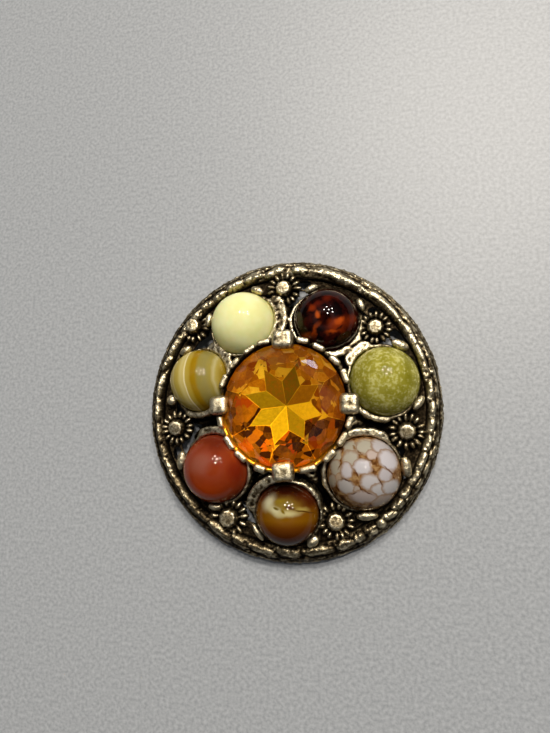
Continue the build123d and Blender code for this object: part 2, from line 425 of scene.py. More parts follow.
# Each link of the rope: the angles of its two ends and how far out each end lies
rope_links = [
    (88.2, 81.2, 21.2, 20.9),
    (100.1, 91.4, 20.8, 21.2),
    (109.2, 100.0, 20.9, 21.1),
    (117.7, 109.5, 20.8, 20.9),
    (125.1, 118.4, 20.6, 20.7),
    (131.6, 125.7, 20.8, 20.6),
    (144.6, 132.0, 20.8, 20.6),
    (156.6, 145.0, 20.7, 20.5),
    (163.4, 156.3, 21.1, 20.4),
    (176.5, 164.2, 20.9, 20.4),
    (185.4, 175.0, 21.0, 20.7),
    (195.0, 186.5, 21.1, 20.9),
    (201.3, 195.0, 20.7, 21.1),
    (207.5, 200.7, 20.5, 21.1),
    (217.4, 205.8, 20.6, 20.8),
    (226.1, 217.0, 20.3, 20.8),
    (233.8, 222.7, 21.0, 21.1),
    (246.1, 233.8, 21.3, 20.9),
    (253.9, 245.4, 21.3, 20.8),
    (264.9, 250.8, 21.4, 20.7),
    (274.6, 264.7, 21.2, 20.7),
    (287.3, 275.5, 21.2, 20.9),
    (296.7, 289.0, 21.4, 21.1),
    (301.0, 296.6, 21.3, 21.2),
    (306.7, 301.4, 21.3, 21.1),
    (310.4, 306.3, 21.3, 21.2),
    (315.7, 309.8, 21.3, 21.0),
    (320.9, 315.2, 21.0, 20.8),
    (326.2, 320.7, 20.8, 20.7),
    (333.3, 326.6, 20.8, 20.5),
    (341.1, 333.3, 20.6, 20.6),
    (348.0, 341.5, 20.8, 20.5),
    (354.7, 348.4, 20.9, 20.6),
    (361.3, 354.9, 20.9, 20.8),
    (369.8, 361.3, 20.9, 20.4),
    (384.8, 370.0, 20.6, 20.4),
    (394.6, 384.0, 20.9, 20.5),
    (413.9, 394.6, 21.1, 20.7),
    (440.0, 414.0, 21.2, 20.6),
]
section = np.array(rim_section)
lengths = np.r_[0, np.cumsum(np.hypot(*np.diff(section, axis=0).T))]
form = bmesh.new()
bmesh.ops.create_grid(form, x_segments=rim_steps, y_segments=rim_strips, size=0.5)
for vert in form.verts:
    along = (vert.co.y + 0.5) * lengths[-1]
    out = np.interp(along, lengths, section[:, 0])
    vert.co.z = np.interp(along, lengths, section[:, 1])
    turn = (vert.co.x + 0.5) * 2 * math.pi
    vert.co.x = out * math.cos(turn)
    vert.co.y = out * math.sin(turn)
bmesh.ops.remove_doubles(form, verts=form.verts, dist=0.0001)
mesh = make_mesh("rim", form)
points = to_points(mesh)
turn = np.degrees(np.arctan2(points[:, 1], points[:, 0]))
out = np.hypot(points[:, 0], points[:, 1])
up = points[:, 2]
bearing = np.radians(turn)
knobs = lumps(points, size=1.3, seed=3.0)
missed = lumps(points, size=2.4, seed=11.0)
grit = lumps(points, size=0.55, seed=9.0) + 0.7 * lumps(points, size=0.28, seed=4.0)
rise = np.zeros(len(points))
for end, start, end_out, start_out in rope_links:
    along = (turn - (start + end) / 2 + 180) % 360 - 180
    along = along / ((end - start) / 2 * link_overlap)
    line = (start_out + end_out) / 2 + along * link_slant * (end_out - start_out) / 2
    across = (out - line + 0.2 * knobs + 0.1 * grit) / (link_width / 2)
    swell = 1 - np.abs(along + 0.14 * grit) ** 3 - np.abs(across) ** 2.2
    rise = np.maximum(rise, np.clip(swell, 0, 1) ** 0.6)
rise = rise * (up > rope_foot)
band = (out - rim_inner) + (rim_top - up)
slanted = np.radians(turn + band * streak_slant)
round_rim = streak_line / streak_length * np.stack([np.cos(slanted), np.sin(slanted)], axis=1)
streaks = np.c_[round_rim, band / streak_width]
grooves = 1 - 2.6 * np.abs(lumps(streaks, size=1.0, seed=5.0))
outside = share_between(out, slope_start, slope_start + 0.3)
top = share_between(up, *foot_fade)
ridge = ridge_rise * np.exp(-(((out - ridge_line) / ridge_spread) ** 2)) * (up > rope_foot)
row = np.exp(-(((out - knob_line) / knob_spread) ** 2)) * arc_share(turn, *knobbly_stretch)
row = row * (0.7 + 0.6 * np.cos(bearing * knobs_in_full_ring + 2 * knobs))
lift = ridge + link_rise * rise * (1 + 0.3 * missed) + knob_rise * row * top
lift += groove_depth * (grooves - 0.4) * outside * top
lift += grit_rise * grit * top
points[:, 2] += lift * share_between(up, *upward_fade)
side = share_between(up, rim_top, 1.8) * outside
points[:, :2] *= (1 + (lift - slope_inset) * side / out)[:, None]
oval = 1 / np.hypot(np.cos(bearing) / rim_reach_across, np.sin(bearing) / rim_reach)
points[:, :2] *= (1 + outside * (oval / rim_reach - 1))[:, None]
points[:, :2] *= np.minimum(1, rim_reach / np.hypot(points[:, 0], points[:, 1]))[:, None]
move_points(mesh, points)
wear_and_painted_light = 0.85 * rub(mesh, points, rounds=12, reach=0.2) - rim_tarnish
wear_and_painted_light += link_wear * rise * top + patch_wear * missed
wear_and_painted_light += outside * (slope_wear + streak_wear * grooves) * top
wear_and_painted_light -= inner_darkening * share_between(out, rim_inner + 0.25, rim_inner + 0.05)
# Painted light: the side toward the lamp is made brighter
wear_and_painted_light += side_light_and_wear * np.cos(np.radians(turn - lit_side))
finish_casting("rim", mesh, np.clip(wear_and_painted_light, 0, 1))

# Centre bezel
# The raised cup that holds the big stone. Its collar is a ring of small bars, with a blunt prong
# at each quarter that was bent over the stone's edge.
bezel_outline = [
    (0, 1.7),
    (8.0, 1.7),
    (9.6, 6.2),
    (9.75, 6.7),
    (9.3, 6.8),
    (9.15, 6.6),
    (9.15, 6.3),
    (8.3, 5.6),
    (7.3, 2.3),
    (0, 2.3),
]
scallop_angles = (24, 40, 58, 73, 108, 122, 140, 158, 194, 214, 229, 249, 291, 312, 330, 345)
scallop_line = 9.64
scallop_height = 6.72
scallop_size = (1.0, 2.15, 1.05)
scallop_rounding = 0.36
# Each prong: its angle and its width
prong_widths = {0: 3.0, 90: 3.2, 180: 2.8, 270: 3.2}
prong_line = 9.4
prong_height = 7.3
prong_length = 2.8
prong_thickness = 2.0
prong_rounding = 0.75


def place_at(angle, out, up):
    """The place at an angle, a radius and a height, turned so that its X points outward."""
    return Matrix.Rotation(math.radians(angle), 4, "Z") @ Matrix.Translation((out, 0, up))


def add_oval(form, place, size, segments):
    """Adds an oval bead of the given length, width and height."""
    bmesh.ops.create_uvsphere(
        form,
        u_segments=segments,
        v_segments=segments // 2 + 2,
        radius=0.5,
        matrix=place @ Matrix.Diagonal((*size, 1)),
    )


def add_block(form, place, size, rounding):
    """Adds a block with rounded edges."""
    made = bmesh.ops.create_cube(form, size=1, matrix=place @ Matrix.Diagonal((*size, 1)))
    edges = list({edge for vert in made["verts"] for edge in vert.link_edges})
    bmesh.ops.bevel(
        form,
        geom=edges,
        offset=rounding,
        segments=3,
        profile=0.5,
        affect="EDGES",
        material=-1,
    )


def add_turned(form, outline, steps, place=Matrix()):
    """Adds a turned shape: an outline of (radius, height) corners spun once round its own Z."""
    corners = [form.verts.new((out, 0, up)) for out, up in outline]
    edges = [form.edges.new(pair) for pair in zip(corners, corners[1:])]
    before = set(form.verts) - set(corners)
    bmesh.ops.spin(
        form,
        geom=corners + edges,
        axis=(0, 0, 1),
        cent=(0, 0, 0),
        angle=2 * math.pi,
        steps=steps,
        use_merge=True,
    )
    made = [vert for vert in form.verts if vert not in before]
    bmesh.ops.remove_doubles(form, verts=made, dist=0.0001)
    made = [vert for vert in form.verts if vert not in before]
    bmesh.ops.transform(form, matrix=place, verts=made)
    return made


def fuse(mesh, voxel):
    """The mesh's overlapping parts as one skin of even squares, as they come out of a mould."""
    carrier = add_to_scene("carrier", mesh)
    remesh = carrier.modifiers.new("fuse", "REMESH")
    remesh.mode = "VOXEL"
    remesh.voxel_size = voxel
    graph = bpy.context.evaluated_depsgraph_get()
    fused = bpy.data.meshes.new_from_object(carrier.evaluated_get(graph))
    bpy.data.objects.remove(carrier)
    return fused


cast_tarnish = 0.12
uneven_tarnish = 0.22
# Below the first height the metal is darkened: tarnish that the wiping cloth hardly reached, and
# painted shade in the recesses
shade_and_tarnish_heights = (2.4, 4.3)
low_shade_and_tarnish = 0.35


def cast(name, form, voxel, roughness, rounds=14, top_wear_and_light=0.28):
    """Casts a form: fuses its parts, roughens the skin as sand does, and rubs it, with painted light on
    faces that look up and tarnish and painted shade low down.
    """
    mesh = fuse(make_mesh(name, form), voxel)
    points = settled(mesh, to_points(mesh), 1)
    sand = lumps(points, size=0.9, seed=3.0) + 0.8 * lumps(points, size=0.4, seed=9.0)
    points += to_normals(mesh) * (roughness * sand)[:, None]
    move_points(mesh, points)
    wear_and_painted_light = rub(mesh, points, rounds, reach=0.12)
    wear_and_painted_light += uneven_tarnish * lumps(points, size=1.9, seed=21.0)
    # Faces that look up are made brighter: wear on level tops, and painted light
    level = share_between(to_normals(mesh)[:, 2], 0.2, 0.9)
    # Painted shade and tarnish: low places are darkened
    unshaded_and_wiped = low_shade_and_tarnish + (1 - low_shade_and_tarnish) * share_between(points[:, 2], *shade_and_tarnish_heights)
    wear_and_painted_light += top_wear_and_light * level - cast_tarnish
    return finish_casting(name, mesh, np.clip(wear_and_painted_light * unshaded_and_wiped, 0, 1))


chance = np.random.default_rng(7)
form = bmesh.new()
add_turned(form, bezel_outline, steps=96)
for angle in scallop_angles:
    length, width, thickness = scallop_size
    size = (length + chance.normal(0, 0.06), width + chance.normal(0, 0.2), thickness)
    place = place_at(angle, scallop_line, scallop_height + chance.normal(0, 0.05))
    bent = Matrix.Rotation(math.radians(chance.normal(0, 5)), 4, "Z")
    add_block(form, place @ bent, size, scallop_rounding)
for angle, width in prong_widths.items():
    bent = Matrix.Rotation(math.radians(chance.normal(0, 5)), 4, "Z")
    place = place_at(angle, prong_line, prong_height) @ bent
    add_block(form, place, (prong_length, width, prong_thickness), prong_rounding)
bezel = cast("bezel", form, voxel=0.13, roughness=0.045)
# Painted reflection: the amber light that the stone throws on the wall around it, on the side away from
# the lamp, between two angles, is painted on in the amber attribute. The rest of that wall, in the
# stone's shade, gets painted shade.
painted_reflection_stretch = (195, 300)
painted_reflection_fade = 30
painted_wall_shade = 0.8
points = to_points(bezel.data) / mm
out = np.hypot(points[:, 0], points[:, 1])
up = points[:, 2]
wall = share_between(out, 9.75, 9.4) * share_between(up, 7.15, 6.85) * share_between(up, 5.4, 5.8)
lit = arc_share(np.degrees(np.arctan2(points[:, 1], points[:, 0])), *painted_reflection_stretch, painted_reflection_fade)
bezel.data.attributes.new("amber", "FLOAT", "POINT").data.foreach_set("value", wall * lit)
wear_and_painted_light = np.empty(len(points))
bezel.data.attributes["wear_and_painted_light"].data.foreach_get("value", wear_and_painted_light)
bezel.data.attributes["wear_and_painted_light"].data.foreach_set("value", wear_and_painted_light * (1 - painted_wall_shade * wall * (1 - lit)))

# Stone cups
# Seven leaning cups, cast with the rest. Each cup's wall ends in a lip around the foot of its
# stone, thin in some places and in others a broad arm that runs into its neighbours.
cup_lean = 12.0
girdle_height = 3.858
# Each ring stone: its angle, how far out it lies, its radius, and its dome as a share of that
ring_stones = {
    "stone_cream": (118.3, 14.454, 4.971, 0.95),
    "stone_tortoise": (64.6, 13.943, 4.947, 0.92),
    "stone_green": (13.5, 14.600, 5.020, 0.95),
    "stone_marbled": (-41.2, 14.600, 5.238, 0.93),
    "stone_brown": (-90.0, 15.403, 4.608, 0.97),
    "stone_carnelian": (-139.6, 14.089, 5.068, 0.98),
    "stone_banded": (163.1, 14.177, 4.753, 0.96),
}
# The broad stretches of each lip: from one angle to another, as seen from above, and how broad
broad_lips = {
    "stone_cream": [(-25, 35, 1.7)],
    "stone_tortoise": [(-80, -34, 0.7), (160, 200, 0.15)],
    "stone_green": [(116, 150, 1.1), (-140, -90, 0.5)],
    "stone_marbled": [(60, 110, 0.8), (165, 195, 0.3)],
    "stone_brown": [(112, 170, 1.15), (30, 62, 0.3)],
    "stone_carnelian": [(66, 112, 0.85), (-20, 10, 0.15)],
    "stone_banded": [(18, 70, 1.0), (-112, -62, 0.5)],
}


def stone_place(name):
    angle, out, _, _ = ring_stones[name]
    return place_at(angle, out, girdle_height) @ Matrix.Rotation(math.radians(cup_lean), 4, "Y")


# A cup's section: how far each corner lies outside its stone's edge, and above its girdle
cup_section = [
    (-0.3, -0.6),
    (0.05, 0.0),
    (0.08, 0.22),
    (0.16, 0.32),
    (0.36, 0.28),
    (0.5, 0.0),
    (0.7, -1.2),
    (0.8, -1.75),
    (1.7, -1.9),
    (1.7, -3.2),
]
# From how far outside its stone each lip slopes down, and from where its arms are drawn out. The
# arms get shorter downwards, and the cup's foot doesn't slope.
slope_from = 0.15
arms_from = 0.3
arm_fall = 3.0
least_arm = 0.35
lip_slope = math.tan(math.radians(7))
cup_foot = -2.0
back_height = 1.7
form = bmesh.new()
for name, (angle, _, radius, _) in ring_stones.items():
    corners = [(radius + out, up) for out, up in cup_section]
    outline = [(0, corners[0][1]), *corners, (0, corners[-1][1])]
    made = add_turned(form, outline, steps=120)
    for vert in made:
        around = math.degrees(math.atan2(vert.co.y, vert.co.x))
        away = math.hypot(vert.co.x, vert.co.y)
        if away > radius + slope_from:
            extra = sum(
                width * arc_share(around + angle, start, end) for start, end, width in broad_lips[name]
            )
            fall = min(1, max(least_arm, 1 + vert.co.z / arm_fall))
            if away > radius + arms_from:
                vert.co.x *= 1 + extra * fall / away
                vert.co.y *= 1 + extra * fall / away
            vert.co.z -= vert.co.x * lip_slope * (vert.co.z > cup_foot)
    bmesh.ops.transform(form, matrix=stone_place(name), verts=made)
bmesh.ops.bisect_plane(
    form,
    geom=form.verts[:] + form.edges[:] + form.faces[:],
    plane_co=(0, 0, back_height),
    plane_no=(0, 0, 1),
    clear_inner=True,
)
bmesh.ops.holes_fill(form, edges=[edge for edge in form.edges if edge.is_boundary])
cast("cups", form, voxel=0.175, roughness=0.1, top_wear_and_light=0.19)

# Ledge
# A thin web inside the rim's foot that the cups and the flowers stand on, all in shadow and black.
# A few narrow openings were left in it, and the table shows through them.
ledge_inner = 18.0
ledge_outer = 20.0
ledge_top = 2.2
ledge_thickness = 0.5
ledge_steps = 900
ledge_strips = 14
opening_width = 1.3
# Each opening: its angle and its length
ledge_openings = [
    (82.6, 2.2),
    (47.0, 2.0),
    (31.5, 3.2),
    (-30.0, 2.4),
    (-80.5, 2.0),
    (-158.0, 2.4),
    (153.5, 2.0),
]
form = bmesh.new()
bmesh.ops.create_grid(form, x_segments=ledge_steps, y_segments=ledge_strips, size=0.5)
opened = []
for face in form.faces:
    middle = face.calc_center_median()
    out = ledge_inner + (middle.y + 0.5) * (ledge_outer - ledge_inner)
    for angle, length in ledge_openings:
        along = out * math.radians((middle.x * 360 - angle + 180) % 360 - 180)
        beyond = max(0, abs(along) - (length - opening_width) / 2)
        if math.hypot(beyond, out - (ledge_inner + ledge_outer) / 2) < opening_width / 2:
            opened.append(face)
bmesh.ops.delete(form, geom=opened, context="FACES")
for vert in form.verts:
    out = ledge_inner + (vert.co.y + 0.5) * (ledge_outer - ledge_inner)
    turn = vert.co.x * 2 * math.pi
    vert.co = (out * math.cos(turn), out * math.sin(turn), ledge_top)
bmesh.ops.remove_doubles(form, verts=form.verts, dist=0.0001)
bmesh.ops.recalc_face_normals(form, faces=form.faces)
lower = bmesh.ops.extrude_face_region(form, geom=form.faces[:])["geom"]
for vert in lower:
    if isinstance(vert, bmesh.types.BMVert):
        vert.co.z = ledge_top - ledge_thickness
cast("ledge", form, voxel=0.12, roughness=0.03)

# Flowers
# A flat-topped bead in a ring of small pointed petals, seven times, each on an arm from the rim.
# They are one casting with it, and the beads' tops are worn flat.
petal_count = 15
petal_size = (1.35, 0.72, 1.15)
petal_line = 2.05
petal_drop = -0.38
# Petals farther out than this would run into the rope
petal_reach = 20.3
flower_height = 3.425
flower_foot = [(0, -1.72), (2.25, -1.72), (2.25, -1.3), (0, -1.3)]
flower_base = [(0, -1.4), (2.1, -1.4), (2.2, -0.95), (1.5, -0.7), (0, -0.7)]
worn_bead = [(0, 0.98), (0.98, 0.92), (1.26, 0.5), (1.36, 0.0), (1.2, -0.8), (0, -0.8)]
# Each flower: its angle, how far out it lies and its scale
flowers = [
    (91.9, 18.05, 1.0),
    (41.2, 17.38, 0.96),
    (-12.3, 17.52, 1.0),
    (-67.3, 17.82, 1.05),
    (-118.7, 18.64, 1.12),
    (-170.1, 17.71, 1.0),
    (139.6, 19.79, 1.0),
]
form = bmesh.new()
petal_step = 360 / petal_count
for angle, out, scale in flowers:
    centre = place_at(angle, out, flower_height) @ Matrix.Diagonal((scale, scale, 1, 1))
    add_turned(form, flower_base, 32, centre)
    first = chance.uniform(0, petal_step)
    for number in range(petal_count):
        turn = first + petal_step * number + chance.normal(0, 2)
        petal = centre @ place_at(turn, petal_line, petal_drop)
        length, width, thickness = petal_size
        size = (length + chance.normal(0, 0.09), width + chance.normal(0, 0.05), thickness)
        if petal.translation.xy.length < petal_reach:
            add_oval(form, petal, size, segments=10)
    bead = centre @ Matrix.Rotation(math.radians(chance.normal(0, 9)), 4, "X")
    add_turned(form, worn_bead, 9, bead)
    add_turned(form, flower_foot, 32, centre)
cast("flowers", form, voxel=0.1, roughness=0.04, rounds=8, top_wear_and_light=0.31)

# Claws
# Two small claws hold the outer side of each ring stone: oval tips on short posts that were cast
# with the cup and then pressed against the stone.
claw_gap = 0.08
claw_rise = 0.75
claw_thickness = 1.35
# The ends and sides of an oval are rounded away, so it is drawn this much larger than the claw
oval_length = 1.15
oval_width = 1.35
post_width = 0.8
post_share = 0.6
post_height = 1.8
post_drop = 1.0
post_rounding = 0.2
# Each claw: its stone, its angle as seen from above, its length and its width
claws = [
    ("stone_cream", 66, 2.1, 1.0),
    ("stone_cream", 172, 2.1, 0.85),
    ("stone_tortoise", 114, 2.0, 0.9),
    ("stone_tortoise", 24, 1.9, 0.9),
    ("stone_green", 66, 2.4, 1.1),
    ("stone_green", -35, 2.2, 0.95),
    ("stone_marbled", 9, 2.7, 1.15),
    ("stone_marbled", -87, 2.8, 1.05),
    ("stone_brown", 212, 2.6, 0.7),
    ("stone_brown", -46, 1.9, 1.1),
    ("stone_carnelian", 168, 2.6, 1.1),
    ("stone_carnelian", -92, 2.0, 0.8),
    ("stone_banded", 117, 2.0, 1.0),
    ("stone_banded", 213, 1.5, 1.2),
]
form = bmesh.new()
for name, angle, length, width in claws:
    radius = ring_stones[name][2]
    turn = angle - ring_stones[name][0]
    place = stone_place(name) @ place_at(turn, radius + claw_gap + width / 2, claw_rise)
    size = (width * oval_width, length * oval_length, claw_thickness)
    add_oval(form, place, size, segments=14)
    post = place @ Matrix.Translation((0, 0, -post_drop))
    add_block(form, post, (post_width, length * post_share, post_height), post_rounding)
cast("claws", form, voxel=0.12, roughness=0.06)

# Back
# The finding soldered behind the rim: a bar, a hinge block, a catch and a stem, all of brass. The
# marks of drawing run along it and make its shine uneven.
wire_grain = 0.4
drawn_thin = 0.08
drawn_brass, tree, shader, place = new_material("drawn_brass")
drawn = add_node(
    tree, "ShaderNodeMapping", inputs={"Vector": place, "Scale": (drawn_thin, 1.0, 1.0)}
).outputs["Vector"]
tone, marks = clouded(tree, drawn, wire_grain * mm, [(0.3, "#6E6040"), (0.7, "#B7A577")], 3.0)
gloss = add_node(tree, "ShaderNodeMapRange", inputs={"Value": marks, "To Min": 0.3, "To Max": 0.5})
feed(shader, {"Base Color": tone, "Roughness": gloss.outputs["Result"], "Metallic": 1.0})
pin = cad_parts["brooch_pin"]
pin.data.materials.clear()
pin.data.materials.append(drawn_brass)

# Centre stone
# Amber glass, pressed and then cut and polished, with a golden foil pressed onto its pointed back.
# Each of the foil's facets is painted with its own share of the light, a painted reflection which makes
# the star. The glass lets the lamp's light through to the foil.
glass_streak = 6.0
amber_glass, tree, shader, place = new_material("amber_glass")
tone, _ = clouded(tree, place, glass_streak * mm, [(0.3, "#FFEC8C"), (0.7, "#FFF19A")], 1.0)
feed(shader, {"Base Color": tone, "Roughness": 0.0, "IOR": 1.52, "Transmission Weight": 1.0})
clear = add_node(tree, "ShaderNodeBsdfTransparent", inputs={"Color": "#FFF7BC"})
lit = add_node(tree, "ShaderNodeLightPath").outputs["Is Shadow Ray"]
both = add_node(
    tree,
    "ShaderNodeMixShader",
    inputs={"Fac": lit, 1: shader.outputs["BSDF"], 2: clear.outputs["BSDF"]},
)
feed(tree.nodes["Material Output"], {"Surface": both.outputs["Shader"]})
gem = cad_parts["center_stone"]
gem.data.materials.clear()
gem.data.materials.append(amber_glass)

# Gold foil, crinkled when it was pressed on, which breaks its shine up. It is sunk this far into the
# glass, so that no light passes between them.
foil_depth = 0.02
# Above this height the foil lines the stone's edge
foil_wall = 6.34
# The foil's facets from this angle on, and how bright the painted light of each pair of them is: one
# that lies between two points of the star, and then the star's next point
first_facet = 7.5
painted_facet_light = [
    (0.62, 0.6),
    (0.85, 0.44),
    (0.82, 0.47),
    (0.8, 0.35),
    (0.25, 0.27),
    (0.12, 0.38),
    (0.18, 0.4),
    (0.26, 0.93),
]
# The painted light of the foil that lines the stone's edge
wall_painted_light = 0.4
# The star's tips lie between these radii. They are drawn in, most of all on one side.
tip_band = (5.9, 6.3)
tip_share = 0.955
tip_swing = 0.045
tip_side = 325
crease_size = 0.5
pane_size = 1.3
# A painted highlight: a thin border round each facet is made brighter
outline_width = 0.05
painted_edge_highlight = 0.4
foil, tree, shader, place = new_material("crinkled_gold_foil")
painted_facet_shading = add_node(tree, "ShaderNodeAttribute", {"attribute_name": "tone"}).outputs["Fac"]
creases = add_node(
    tree,
    "ShaderNodeTexNoise",
    inputs={"Vector": place, "Scale": 1 / (crease_size * mm), "Detail": 4.0, "Roughness": 0.7},
).outputs["Fac"]
crease_shift = add_node(
    tree,
    "ShaderNodeMapRange",
    inputs={"Value": creases, "From Min": 0.3, "From Max": 0.7, "To Min": -0.08, "To Max": 0.08},
).outputs["Result"]
total = add_node(
    tree,
    "ShaderNodeMath",
    {"operation": "ADD", "use_clamp": True},
    {0: painted_facet_shading, 1: crease_shift},
).outputs["Value"]
point = add_node(
    tree,
    "ShaderNodeValToRGB",
    inputs={"Fac": total},
    stops=[
        (0.0, "#271B02"),
        (0.3, "#7A6510"),
        (0.42, "#8D7414"),
        (0.47, "#9A6A14"),
        (0.66, "#BC8418"),
        (0.95, "#F2CC2E"),
    ],
)
# Between the points the cut front breaks the foil's reflection up into many small panes, each painted
# with its own light
panes = add_node(
    tree, "ShaderNodeTexVoronoi", inputs={"Vector": place, "Scale": 1 / (pane_size * mm)}
).outputs["Color"]
painted_pane_light = add_node(
    tree, "ShaderNodeMapRange", inputs={"Value": panes, "To Min": -0.42, "To Max": 0.42}
).outputs["Result"]
broken = add_node(
    tree,
    "ShaderNodeMath",
    {"operation": "ADD", "use_clamp": True},
    {0: total, 1: painted_pane_light},
)
between = add_node(
    tree,
    "ShaderNodeValToRGB",
    inputs={"Fac": broken.outputs["Value"]},
    stops=[(0.0, "#2C1404"), (0.35, "#84500C"), (0.6, "#B87212"), (0.8, "#E4A420"), (1.0, "#FFDE58")],
)
# A few panes are painted with a red glint: the red of the glass seen through its whole depth
red_pane = add_node(tree, "ShaderNodeSeparateColor", inputs={"Color": panes}).outputs["Red"]
painted_red_glint = add_node(
    tree,
    "ShaderNodeMapRange",
    inputs={"Value": red_pane, "From Min": 0.75, "From Max": 0.8, "To Max": 0.6},
).outputs["Result"]
reddened = add_node(
    tree,
    "ShaderNodeMix",
    {"data_type": "RGBA"},
    {"Factor": painted_red_glint, "A": between.outputs["Color"], "B": "#9A3A08"},
).outputs["Result"]
in_star = add_node(tree, "ShaderNodeAttribute", {"attribute_name": "star"}).outputs["Fac"]
tone = add_node(
    tree,
    "ShaderNodeMix",
    {"data_type": "RGBA"},
    {"Factor": in_star, "A": reddened, "B": point.outputs["Color"]},
)
feed(shader, {"Base Color": tone.outputs["Result"], "Metallic": 1.0, "Roughness": 0.55})
form = bmesh.new()
form.from_mesh(gem.data)
bmesh.ops.remove_doubles(form, verts=form.verts, dist=0.001 * mm)
form.normal_update()
upper = [face for face in form.faces if face.normal.z > 0.1]
bmesh.ops.delete(form, geom=upper, context="FACES")
bmesh.ops.dissolve_limit(form, angle_limit=math.radians(1), verts=form.verts, edges=form.edges)
form.normal_update()
culet = min(form.verts, key=lambda vert: vert.co.z).co.copy()
for vert in form.verts:
    if tip_band[0] < vert.co.xy.length / mm < tip_band[1]:
        turn = math.atan2(vert.co.y, vert.co.x)
        share = tip_share - tip_swing * math.cos(turn - math.radians(tip_side))
        vert.co = culet + (vert.co - culet) * share
form.normal_update()
# Each facet is given its painted light, kept in the tone layer
tone_layer = form.faces.layers.float.new("tone")
star_layer = form.faces.layers.float.new("star")
facets = 2 * len(painted_facet_light)
for face in form.faces:
    way = math.degrees(math.atan2(face.normal.y, face.normal.x)) - first_facet
    pair, side = divmod(round(way / 360 * facets) % facets, 2)
    on_wall = face.calc_center_median().z > foil_wall * mm
    face[tone_layer] = wall_painted_light if on_wall else painted_facet_light[pair][side]
    face[star_layer] = 0 if on_wall else side
outlines = bmesh.ops.inset_individual(form, faces=form.faces[:], thickness=outline_width * mm)["faces"]
for face in outlines:
    face[tone_layer] += painted_edge_highlight
form.normal_update()
for vert in form.verts:
    vert.co -= vert.normal * foil_depth * mm
foil_mesh = bpy.data.meshes.new("foil")
form.to_mesh(foil_mesh)
form.free()
foil_mesh.materials.append(foil)
foil_piece = add_to_scene("foil", foil_mesh)
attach(foil_piece, "root")


# Ring stones
# Seven round cabochons with high domes, ground from agate and pressed glass and polished, and glued
# into their cups.
base_inset = 0.3
base_depth = 0.5


def make_cabochon(name, material):
    """Turns a ring stone: its dome is part of a ball, above a short base."""
    _, _, radius, share = ring_stones[name]
    tall = radius * share
    ball = (radius**2 + tall**2) / (2 * tall)
    form = bmesh.new()
    top = form.verts.new((0, 0, tall))
    reach = math.acos((ball - tall) / ball)
    bmesh.ops.spin(
        form,
        geom=[top],
        axis=(0, 1, 0),
        cent=(0, 0, tall - ball),
        angle=reach,
        steps=40,
    )
    form.verts.ensure_lookup_table()
    edge = max(form.verts, key=lambda vert: vert.co.x)
    base = form.verts.new((radius - base_inset, 0, -base_depth))
    middle = form.verts.new((0, 0, -base_depth))
    form.edges.new((edge, base))
    form.edges.new((base, middle))
    bmesh.ops.spin(
        form,
        geom=form.verts[:] + form.edges[:],
        axis=(0, 0, 1),
        cent=(0, 0, 0),
        angle=2 * math.pi,
        steps=96,
        use_merge=True,
    )
    bmesh.ops.remove_doubles(form, verts=form.verts, dist=0.0001)
    bmesh.ops.transform(form, matrix=stone_place(name), verts=form.verts)
    mesh = make_mesh(name + "_dome", form)
    put_on_brooch(name + "_dome", mesh, material, name)


# The polish is full above this height, and the foot below it is left duller
polish_start = 2.2
# Every patch of colour goes right down through its stone
patch_depth = 40.0
# Layers are counted this far to either side of a stone's middle
layer_reach = 5.0


def polished(name, finish):
    """A polished stone's material, and the place on it in millimetres from the stone's middle."""
    material, tree, shader, place = new_material(finish)
    place = add_node(
        tree,
        "ShaderNodeMapping",
        inputs={"Vector": place, "Scale": (1 / mm,) * 3, "Location": -stone_place(name).translation},
    ).outputs["Vector"]
    up = add_node(tree, "ShaderNodeSeparateXYZ", inputs={"Vector": place}).outputs["Z"]
    gloss = add_node(
        tree,
        "ShaderNodeMapRange",
        inputs={"Value": up, "From Max": polish_start, "To Min": 0.2, "To Max": 0.03},
    ).outputs["Result"]
    feed(shader, {"IOR": 1.54, "Specular IOR Level": 0.14, "Roughness": gloss})
    return material, tree, shader, place


def stirred(tree, place, size, reach):
    """The place pushed about, as the stone's melt was stirred: the size and the reach of its swirls."""
    swirl = add_node(tree, "ShaderNodeTexNoise", inputs={"Vector": place, "Scale": 1 / size})
    push = add_node(
        tree,
        "ShaderNodeVectorMath",
        {"operation": "SUBTRACT"},
        {0: swirl.outputs["Color"], 1: (0.5, 0.5, 0.5)},
    )
    return add_node(
        tree,
        "ShaderNodeVectorMath",
        {"operation": "MULTIPLY_ADD"},
        {0: push.outputs["Vector"], 1: (reach,) * 3, 2: place},
    ).outputs["Vector"]


def blended(tree, ground, colour, value, start, end, most=1.0):
    """Lets a colour softly take the ground's place as a value goes from start to end."""
    share = add_node(
        tree,
        "ShaderNodeMapRange",
        {"interpolation_type": "SMOOTHSTEP"},
        {"Value": value, "From Min": start, "From Max": end, "To Max": most},
    ).outputs["Result"]
    return add_node(
        tree,
        "ShaderNodeMix",
        {"data_type": "RGBA"},
        {"Factor": share, "A": ground, "B": colour},
    ).outputs["Result"]


def layered(tree, value, stops):
    """The colours of a stone's layers, from the lowest value to the highest."""
    share = add_node(
        tree,
        "ShaderNodeMapRange",
        inputs={"Value": value, "From Min": -layer_reach, "From Max": layer_reach},
    ).outputs["Result"]
    return add_node(tree, "ShaderNodeValToRGB", inputs={"Fac": share}, stops=stops).outputs["Color"]


